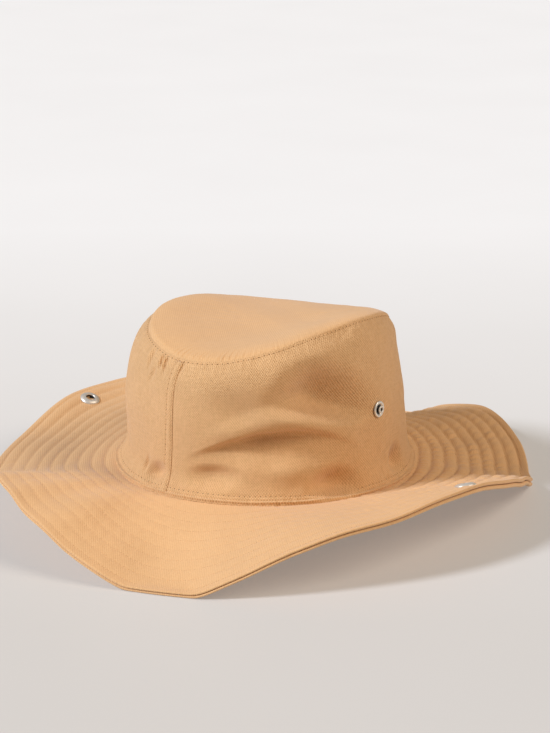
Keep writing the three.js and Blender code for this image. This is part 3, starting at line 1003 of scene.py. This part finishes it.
def material(name):
    """A new material with its Principled shader's node helper."""
    made = bpy.data.materials.new(name)
    made.use_nodes = True
    tree = made.node_tree
    tree.nodes.clear()
    n = Nodes(tree)
    shader = n.add("ShaderNodeBsdfPrincipled")
    n.add("ShaderNodeOutputMaterial", {"Surface": shader.outputs[0]})
    return made, n, shader.inputs


def rgba(value):
    return (*value, 1.0)


def twill_material(context, bold=False):
    """The cloth. Its weave shows more where bold, on the crown's side, where it hangs stretched."""
    colours = context.scene.hat_colours
    name, contrast, depth = "Camel twill", colours.contrast, colours.rib
    if bold:
        name, contrast, depth = "Camel twill, stretched", 3.2 * colours.contrast, 3 * colours.rib
    if name in bpy.data.materials:
        return bpy.data.materials[name]
    made, n, shader = material(name)
    flat = n.add("ShaderNodeUVMap", uv_map="flat").outputs[0]
    weave = n.placed(weave_group(), Vector=flat, Pitch=colours.yarn, Slubs=0.8)
    mottle = n.placed(mottle_group(), Vector=n.own_space(), Size=0.045, Grain=0.0006)
    yarns = n.range(weave["Yarns"], 0.0, 1.0, 0.75 - contrast / 2, 0.75 + contrast / 2)
    cloth = n.mix(yarns, rgba(colours.twill_dark), rgba(colours.twill))
    shade = n.range(mottle["Patches"], 0.0, 1.0, 0.95, 1.03)
    grain = n.range(mottle["Grain"], 0.0, 1.0, 0.97, 1.03)
    n.feed(shader["Base Color"], n.toned(cloth, n.math("MULTIPLY", shade, grain)))
    n.feed(shader["Roughness"], n.range(weave["Yarns"], 0.0, 1.0, 0.98, 0.86))
    shader["Specular IOR Level"].default_value = 0.18
    shader["Sheen Weight"].default_value = 0.22
    shader["Sheen Roughness"].default_value = 0.5
    height = n.math("ADD", weave["Height"], n.math("MULTIPLY", mottle["Grain"], 0.5))
    raised = n.add("ShaderNodeBump", {"Strength": 1.0, "Distance": depth, "Height": height})
    n.feed(shader["Normal"], raised.outputs[0])
    return made


def thread_material(context):
    name = "Cotton thread"
    if name in bpy.data.materials:
        return bpy.data.materials[name]
    colours = context.scene.hat_colours
    made, n, shader = material(name)
    mottle = n.placed(mottle_group(), Vector=n.own_space(), Size=0.02, Grain=0.0003)
    tone = n.range(mottle["Grain"], 0.0, 1.0, 0.85, 1.1)
    n.feed(shader["Base Color"], n.toned(rgba(colours.thread), tone))
    n.feed(shader["Roughness"], n.range(mottle["Patches"], 0.0, 1.0, 0.7, 0.82))
    raised = n.add("ShaderNodeBump", {"Strength": 0.5, "Distance": 0.00008, "Height": mottle["Grain"]})
    n.feed(shader["Normal"], raised.outputs[0])
    return made


# Painted shade: the needle holes' dark colour stands for the shade inside each hole, and its grain varies
# that dark at random.
def hole_shade_material(context):
    name = "Needle holes"
    if name in bpy.data.materials:
        return bpy.data.materials[name]
    made, n, shader = material(name)
    mottle = n.placed(mottle_group(), Vector=n.own_space(), Size=0.02, Grain=0.003)
    tone = n.range(mottle["Grain"], 0.0, 1.0, 0.6, 1.4)
    n.feed(shader["Base Color"], n.toned(rgba(context.scene.hat_colours.hole), tone))
    shader["Roughness"].default_value = 0.95
    shader["Specular IOR Level"].default_value = 0.1
    return made


def metal_material(context):
    name = "Snap nickel"
    if name in bpy.data.materials:
        return bpy.data.materials[name]
    colours, snaps = context.scene.hat_colours, context.scene.hat_snaps
    made, n, shader = material(name)
    mottle = n.placed(mottle_group(), Vector=n.own_space(), Size=0.004, Grain=0.0002)
    profile = n.add("ShaderNodeSeparateXYZ", {0: n.add("ShaderNodeUVMap", uv_map="flat").outputs[0]})
    radius, height = profile.outputs[0], profile.outputs[1]
    # Painted shade: the socket's bore and the hollow in the stud's post take the dark bore colour, for the
    # shade deep inside them.
    bore_shade = n.range(radius, snaps.bore * 0.52, snaps.bore * 0.6, 1.0, 0.0)
    below_lip = n.range(height, 1.3 * MM, 1.7 * MM, 1.0, 0.0)
    post_hollow_shade = n.range(radius, snaps.bore * 0.2, snaps.bore * 0.25, 1.0, 0.0)
    inside = n.math("MAXIMUM", n.math("MULTIPLY", bore_shade, below_lip), post_hollow_shade)
    outside = n.range(height, -1.2 * MM, -1.0 * MM, 0.0, 1.0)
    # Painted shade at each snap's foot: its outer rim just above the cloth takes the dull colour, for the
    # shade there.
    near_rim = n.range(radius, 0.43 * snaps.flange, 0.49 * snaps.flange, 0.0, 1.0)
    foot_shade = n.range(height, 0.3 * MM, 0.8 * MM, 0.8, 0.0)
    patches = n.range(mottle["Patches"], 0.35, 1.0, 0.0, 0.35)
    # The dull colour covers the real dull patches and the painted shade at the foot.
    worn = n.math("MAXIMUM", patches, n.math("MULTIPLY", near_rim, foot_shade))
    plate = n.mix(worn, rgba(colours.metal), rgba(colours.metal_dark))
    n.feed(shader["Base Color"], n.mix(n.math("MULTIPLY", inside, outside), plate, rgba(colours.bore)))
    n.feed(shader["Roughness"], n.range(mottle["Patches"], 0.0, 1.0, 0.34, 0.46))
    shader["Metallic"].default_value = 0.6
    raised = n.add("ShaderNodeBump", {"Strength": 0.15, "Distance": 0.00004, "Height": mottle["Grain"]})
    n.feed(shader["Normal"], raised.outputs[0])
    return made


# Pieces

COLUMNS = 720
# Shares of the tip nearest to its seam, closer and closer together
SEAM_SHARES = 1 - (1 - TIP_CLOSES) * (1 - np.sin(np.linspace(0, HALF_TURN / 2, 8)))


def coarse(rows, step=4):
    """Every few rows, with the last one."""
    return np.append(rows[:-1:step], rows[-1])


class HAT_OT_crown_tip(bpy.types.Operator):
    """Make the oval top panel of the crown"""

    bl_idname = "hat.crown_tip"
    bl_label = "Crown Tip"

    def execute(self, context):
        form = HatForm(context)
        turns = np.arange(COLUMNS) * math.tau / COLUMNS
        shares = np.concatenate([
            np.linspace(0, 0.86, 34)[:-1],
            np.linspace(0.86, TIP_CLOSES, 10)[:-1],
            SEAM_SHARES,
        ])
        face, inside = shares[:, None], coarse(shares)[:, None]
        spots, flat = shell(
            form.tip_cloth(turns, face), form.tip_cloth(turns, inside, -form.sizes.cloth),
            form.tip(turns, face)[..., :2], form.tip(turns, inside)[..., :2], False,
        )
        mesh_piece(
            "crown_tip_cloth", form.place(spots), flat, True, True, twill_material(context),
            ("crown_tip",),
        )
        return {"FINISHED"}


class HAT_OT_crown_side(bpy.types.Operator):
    """Make the two side panels of the crown"""

    bl_idname = "hat.crown_side"
    bl_label = "Crown Side"

    def execute(self, context):
        form = HatForm(context)
        rises = np.concatenate([
            np.linspace(0, 0.045, 13)[:-1],
            np.linspace(0.045, 0.1, 9)[:-1],
            np.linspace(0.1, 0.92, 58)[:-1],
            np.linspace(0.92, 1, 16),
        ])
        outside, inside = rises[:, None], coarse(rises)[:, None]
        across_turn = (form.sizes.base_length + form.sizes.base_width) / 4
        for side, start in (("left", -BACK), ("right", BACK)):
            turns = start + np.linspace(0, HALF_TURN, COLUMNS // 2 + 1)
            creases = fold_depth(SIDE_CREASES, turns, inside) * form.sizes.base_width
            back = form.side(turns, inside) - form.outward(turns) * (form.sizes.cloth + creases)[..., None]
            spots, flat = shell(
                form.side_cloth(turns, outside), back,
                points(turns * across_turn, outside * form.sizes.crown_height, 0.0)[..., :2],
                points(turns * across_turn, inside * form.sizes.crown_height, 0.0)[..., :2], True,
            )
            mesh_piece(
                f"crown_side_cloth_{side}", form.place(spots), flat, True, False,
                twill_material(context, True), (f"crown_side_{side}",), caps=True,
            )
        return {"FINISHED"}


class HAT_OT_brim(bpy.types.Operator):
    """Make the two layers of the brim"""

    bl_idname = "hat.brim"
    bl_label = "Brim"

    def execute(self, context):
        form = HatForm(context)
        s = form.sizes
        turns = np.arange(COLUMNS) * math.tau / COLUMNS
        start, edge = -s.cloth / s.brim_width, 1 - 0.5 * s.cloth / s.brim_width
        shares = np.concatenate([np.linspace(start, 0.93, 74), np.linspace(0.94, edge, 9)])
        outside, inside = shares[:, None], coarse(shares)[:, None]
        relief = form.brim_relief(*np.broadcast_arrays(turns, outside))
        flat = form.brim_fall(turns, outside)[..., :2]
        back_flat = form.brim_fall(turns, inside)[..., :2]
        layers = (("upper", 0.0, s.cloth, 1), ("under", form.stack, s.cloth + s.gap, -1))
        for layer, depth, back_depth, side in layers:
            face = form.brim_cloth(turns, outside, depth, side * relief)
            back = form.brim_cloth(turns, inside, back_depth)
            spots, places = shell(face, back, flat, back_flat, False)
            spots = form.place(spots)
            spots[..., 2] = np.maximum(spots[..., 2], 0.0)
            mesh_piece(
                f"brim_{layer}_cloth", spots, places, True, True, twill_material(context),
                (f"brim_{layer}",),
            )
        return {"FINISHED"}


def fell_turns(sewing):
    """Name and turn of each felled seam."""
    return ("front", FRONT + sewing.fell_turn), ("back", BACK)


class HAT_OT_felled_seams(bpy.types.Operator):
    """Make the felled seams that join the side panels at the front and the back"""

    bl_idname = "hat.felled_seams"
    bl_label = "Felled Seams"

    def execute(self, context):
        form = HatForm(context)
        w = form.sewing
        rises = np.linspace(0.012, 0.985, 110)[:, None]
        # Across the fell, shares of its half width, and its height, shares of its full height
        section = np.array([
            (-1.0, -0.5), (-1.0, 0.2), (-0.97, 0.6), (-0.9, 0.8), (-0.8, 0.6), (-0.7, 0.15), (-0.6, 0.6),
            (-0.4, 1.0), (0.0, 1.05), (0.4, 1.0), (0.6, 0.7), (0.7, 0.3), (0.8, 0.65), (0.9, 0.8),
            (0.97, 0.6), (1.0, 0.2), (1.0, -0.5), (0.0, -0.5),
        ])
        for name, middle in fell_turns(w):
            turns = middle + section[:, 0] * w.fell_width / 2 / form.girth(middle)
            spots = form.place(form.side_cloth(turns, rises, section[:, 1] * w.fell_height))
            up = form.climb(np.array(middle), rises)
            flat = points(section[:, 0] * w.fell_width / 2, up, 0.0)[..., :2]
            mesh_piece(
                f"{name}_fell", spots.transpose(1, 0, 2), flat.transpose(1, 0, 2), True, False,
                twill_material(context, True), caps=True,
            )
        return {"FINISHED"}


class HAT_OT_stitching(bpy.types.Operator):
    """Make every row of stitches"""

    bl_idname = "hat.stitching"
    bl_label = "Stitching"

    def execute(self, context):
        form = HatForm(context)
        s, w = form.sizes, form.sewing
        places = 2 * COLUMNS
        turns = np.arange(places) * math.tau / places
        sunk = w.thread * 0.1
        rows = {"upper": [], "under": []}
        for ring in range(w.brim_rows):
            inward = w.first_row + ring * w.row_spacing
            shares = 1 - inward / (s.brim_width * around("reach", turns))
            up = -normals(form.brim_fall, turns, shares)
            relief = form.brim_relief(turns, shares)
            # How big the dots of painted shade at the needle holes are here.
            pull = varied("needle holes", turns)
            for layer, depth, side in (("upper", 0.0, 1), ("under", form.stack, -1)):
                spots = form.place(form.brim_cloth(turns, shares, depth, side * (relief + sunk)))
                spots[:, 2] = np.maximum(spots[:, 2], 1.2 * w.thread)
                rows[layer].append(stitch_row(spots, up * side, w, True, pull))
        for layer, made in rows.items():
            stitching(f"brim_{layer}", made, context)
        for name, distance in (("base", w.base_row), ("tip", -w.tip_row)):
            rises = form.rise_at(turns, distance)
            spots = form.place(form.side_cloth(turns, rises, sunk))
            up = normals(form.side, turns, rises)
            stitching(f"crown_{name}", [stitch_row(spots, up, w)], context)
        rises = np.linspace(0.03, 0.965, 300)
        for name, middle in fell_turns(w):
            made = []
            for side in (-1, 1):
                turn = np.full_like(rises, middle + side * 0.7 * w.fell_width / 2 / form.girth(middle))
                spots = form.place(form.side_cloth(turn, rises, 0.25 * w.fell_height + sunk))
                made.append(stitch_row(spots, normals(form.side, turn, rises), w, False))
            stitching(f"{name}_fell", made, context)
        return {"FINISHED"}


def snap_place(form, cloth, face, turn, share, side):
    """Where a snap sits: its Z leaves the cloth; side is 1 on the crown and -1 on the brim."""
    step = 0.02
    turn, share = np.array(turn), np.array(share)
    across = face(turn + step, share) - face(turn - step, share)
    along = face(turn, share + step) - face(turn, share - step)
    normal = Vector(np.cross(across, along) * side).normalized()
    first = Vector(across).normalized()
    second = normal.cross(first)
    place = Matrix((first, second, normal)).transposed().to_4x4()
    place.translation = Vector(form.place(cloth(turn, share)))
    return place


class HAT_OT_snaps(bpy.types.Operator):
    """Make the metal snaps on the crown and the brim"""

    bl_idname = "hat.snaps"
    bl_label = "Snaps"

    def execute(self, context):
        form = HatForm(context)
        k = context.scene.hat_snaps
        metal = metal_material(context)
        rise = k.stud_height / form.sizes.crown_height
        share = 1 - k.socket_inset / form.sizes.brim_width
        cap, shank = k.cap / 2, k.shank / 2

        def back(depth):
            low = -depth - 0.4 * MM
            return [
                (0, low - 1.1 * MM), (cap * 0.45, low - 1.05 * MM), (cap * 0.8, low - 0.85 * MM),
                (cap * 0.95, low - 0.5 * MM), (cap, low - 0.2 * MM), (cap * 0.98, low), (shank, low),
                (shank, 0.1 * MM),
            ]

        outer, bore, top = k.socket / 2, k.bore / 2, k.socket_height
        socket = [
            (outer, 0.1 * MM), (outer, 0.45 * MM), (outer * 0.97, 0.75 * MM), (outer * 0.9, top * 0.6),
            (outer * 0.76, top * 0.86), (outer * 0.6, top), (outer * 0.48, top * 0.97),
            (bore * 1.12, top * 0.8), (bore, top * 0.55), (bore, -0.9 * MM), (0, -0.9 * MM),
        ]
        flange, post, tall = k.flange / 2, k.post / 2, k.post_height
        stud = [
            (flange, 0.1 * MM), (flange, 0.5 * MM), (flange * 0.96, 0.85 * MM), (flange * 0.86, 1.05 * MM),
            (flange * 0.74, 0.95 * MM), (flange * 0.64, 0.6 * MM), (flange * 0.56, 0.3 * MM),
            (post * 1.02, 0.25 * MM), (post * 0.84, 0.5 * MM), (post * 0.84, tall * 0.5),
            (post, tall * 0.75), (post * 0.98, tall * 0.9), (post * 0.8, tall), (post * 0.6, tall * 0.97),
            (post * 0.5, tall * 0.85), (post * 0.46, tall * 0.3), (0, tall * 0.3),
        ]
        crown = (stud, form.sizes.cloth, form.side_cloth, form.side)
        brim = (socket, form.stack, form.brim_cloth, form.brim_cloth)
        pieces = (
            ("crown_stud_left", *crown, k.stud_turn, rise, 1),
            ("crown_stud_right", *crown, RIGHT - k.stud_turn, rise, 1),
            ("brim_socket_left", *brim, LEFT, share, -1),
            ("brim_socket_right", *brim, RIGHT, share, -1),
        )
        for name, head, depth, cloth, face, turn, at, side in pieces:
            turned(f"{name}_metal", back(depth) + head, snap_place(form, cloth, face, turn, at, side), metal)
        return {"FINISHED"}


# Stage

def floor_material(context):
    g = context.scene.hat_stage
    made, n, shader = material("Pale floor")
    spot = n.own_space()
    split = n.add("ShaderNodeSeparateXYZ", {0: spot})
    sideways = n.math("MULTIPLY", split.outputs[0], -math.sin(g.azimuth))
    onward = n.math("MULTIPLY", split.outputs[1], math.cos(g.azimuth))
    # Painted light and shade: the floor fades from the darker near colour to the paler far colour along the
    # camera's view.
    far = n.range(n.math("ADD", sideways, onward), g.fade_start, g.fade_end, 0.0, 1.0)
    cloudy = n.noise(spot, 6.0, 3.0)
    pale = n.mix(far, rgba(g.floor_near), rgba(g.floor_far))
    tone = n.range(cloudy, 0.0, 1.0, 0.985, 1.015)
    n.feed(shader["Base Color"], n.toned(pale, tone))
    n.feed(shader["Roughness"], n.range(cloudy, 0.0, 1.0, 0.55, 0.65))
    shader["Emission Color"].default_value = rgba(g.floor_glow)
    shader["Emission Strength"].default_value = g.glow
    return made


def distant_light(name, turn, rise, spread, strength, tint):
    """A soft light from far away, at a turn around the hat and a rise above the floor."""
    light = bpy.data.lights.new(name, "SUN")
    light.angle = spread
    light.energy = strength
    light.color = tint
    lamp = bpy.data.objects.new(name, light)
    bpy.context.scene.collection.objects.link(lamp)
    away = Vector((math.cos(turn) * math.cos(rise), math.sin(turn) * math.cos(rise), math.sin(rise)))
    lamp.location = away * 3
    lamp.rotation_euler = away.to_track_quat("Z", "Y").to_euler()


def photo_camera(context):
    """A camera at the photograph's viewing angle."""
    g = context.scene.hat_stage
    a, e = g.azimuth, g.elevation
    back = Vector((math.sin(a) * math.cos(e), -math.cos(a) * math.cos(e), math.sin(e)))
    right = Vector((math.cos(a), math.sin(a), 0))
    up = back.cross(right)
    ahead = -back * math.cos(g.pitch) + up * math.sin(g.pitch)
    up = right.cross(ahead)
    ahead = ahead * math.cos(g.yaw) + right * math.sin(g.yaw)
    right = ahead.cross(up).normalized()
    up = right.cross(ahead)
    right, up = (
        right * math.cos(g.roll) + up * math.sin(g.roll), up * math.cos(g.roll) - right * math.sin(g.roll),
    )
    data = bpy.data.cameras.new("photo_camera")
    data.sensor_fit = "AUTO"
    data.sensor_width = SENSOR_MM
    data.lens = g.lens * SENSOR_MM / PHOTO_HEIGHT
    data.clip_start, data.clip_end = 0.05, 50
    camera = bpy.data.objects.new("photo_camera", data)
    context.scene.collection.objects.link(camera)
    place = Matrix((right, up, -ahead)).transposed().to_4x4()
    place.translation = Vector(context.scene.hat_sizes.place) + back * g.distance
    camera.matrix_world = place
    context.scene.camera = camera


class HAT_OT_stage(bpy.types.Operator):
    """Set the floor, the lights and the camera"""

    bl_idname = "hat.stage"
    bl_label = "Stage"

    def execute(self, context):
        g = context.scene.hat_stage
        mesh = bpy.data.meshes.new("floor")
        work = bmesh.new()
        bmesh.ops.create_circle(work, cap_ends=True, segments=96, radius=9)
        work.to_mesh(mesh)
        work.free()
        floor = bpy.data.objects.new("floor", mesh)
        context.scene.collection.objects.link(floor)
        floor.location.z = -0.1 * MM
        mesh.materials.append(floor_material(context))
        distant_light("key_light", g.key_turn, g.key_rise, g.key_spread, g.key, g.key_tint)
        distant_light("side_light", g.side_turn, g.side_rise, g.side_spread, g.side, g.side_tint)
        world = bpy.data.worlds.new("studio")
        world.use_nodes = True
        sky = world.node_tree.nodes["Background"].inputs
        sky["Color"].default_value = rgba(g.sky)
        sky["Strength"].default_value = g.sky_strength
        context.scene.world = world
        context.scene.view_settings.view_transform = "Standard"
        photo_camera(context)
        return {"FINISHED"}


class HAT_PT_panel(bpy.types.Panel):
    """The hat's operators, in the order in which they run"""

    bl_idname = "HAT_PT_panel"
    bl_label = "Rancher Hat"
    bl_space_type = "VIEW_3D"
    bl_region_type = "UI"
    bl_category = "Hat"

    def draw(self, context):
        for operator in OPERATORS:
            self.layout.operator(operator.bl_idname)


OPERATORS = (
    HAT_OT_crown_tip, HAT_OT_crown_side, HAT_OT_brim, HAT_OT_felled_seams, HAT_OT_stitching, HAT_OT_snaps,
    HAT_OT_stage,
)
SETTINGS = {
    "hat_sizes": HatSizes, "hat_sewing": SewingSizes, "hat_snaps": SnapSizes, "hat_colours": HatColours,
    "hat_stage": StageSettings,
}


def register():
    for kind in (*SETTINGS.values(), *OPERATORS, HAT_PT_panel):
        bpy.utils.register_class(kind)
    for name, kind in SETTINGS.items():
        setattr(bpy.types.Scene, name, PointerProperty(type=kind))


def unregister():
    for name in SETTINGS:
        delattr(bpy.types.Scene, name)
    for kind in (HAT_PT_panel, *OPERATORS[::-1], *list(SETTINGS.values())[::-1]):
        bpy.utils.unregister_class(kind)


def main():
    register()
    bpy.ops.hat.crown_tip()
    bpy.ops.hat.crown_side()
    bpy.ops.hat.brim()
    bpy.ops.hat.felled_seams()
    bpy.ops.hat.stitching()
    bpy.ops.hat.snaps()
    bpy.ops.hat.stage()


if __name__ == "__main__":
    main()
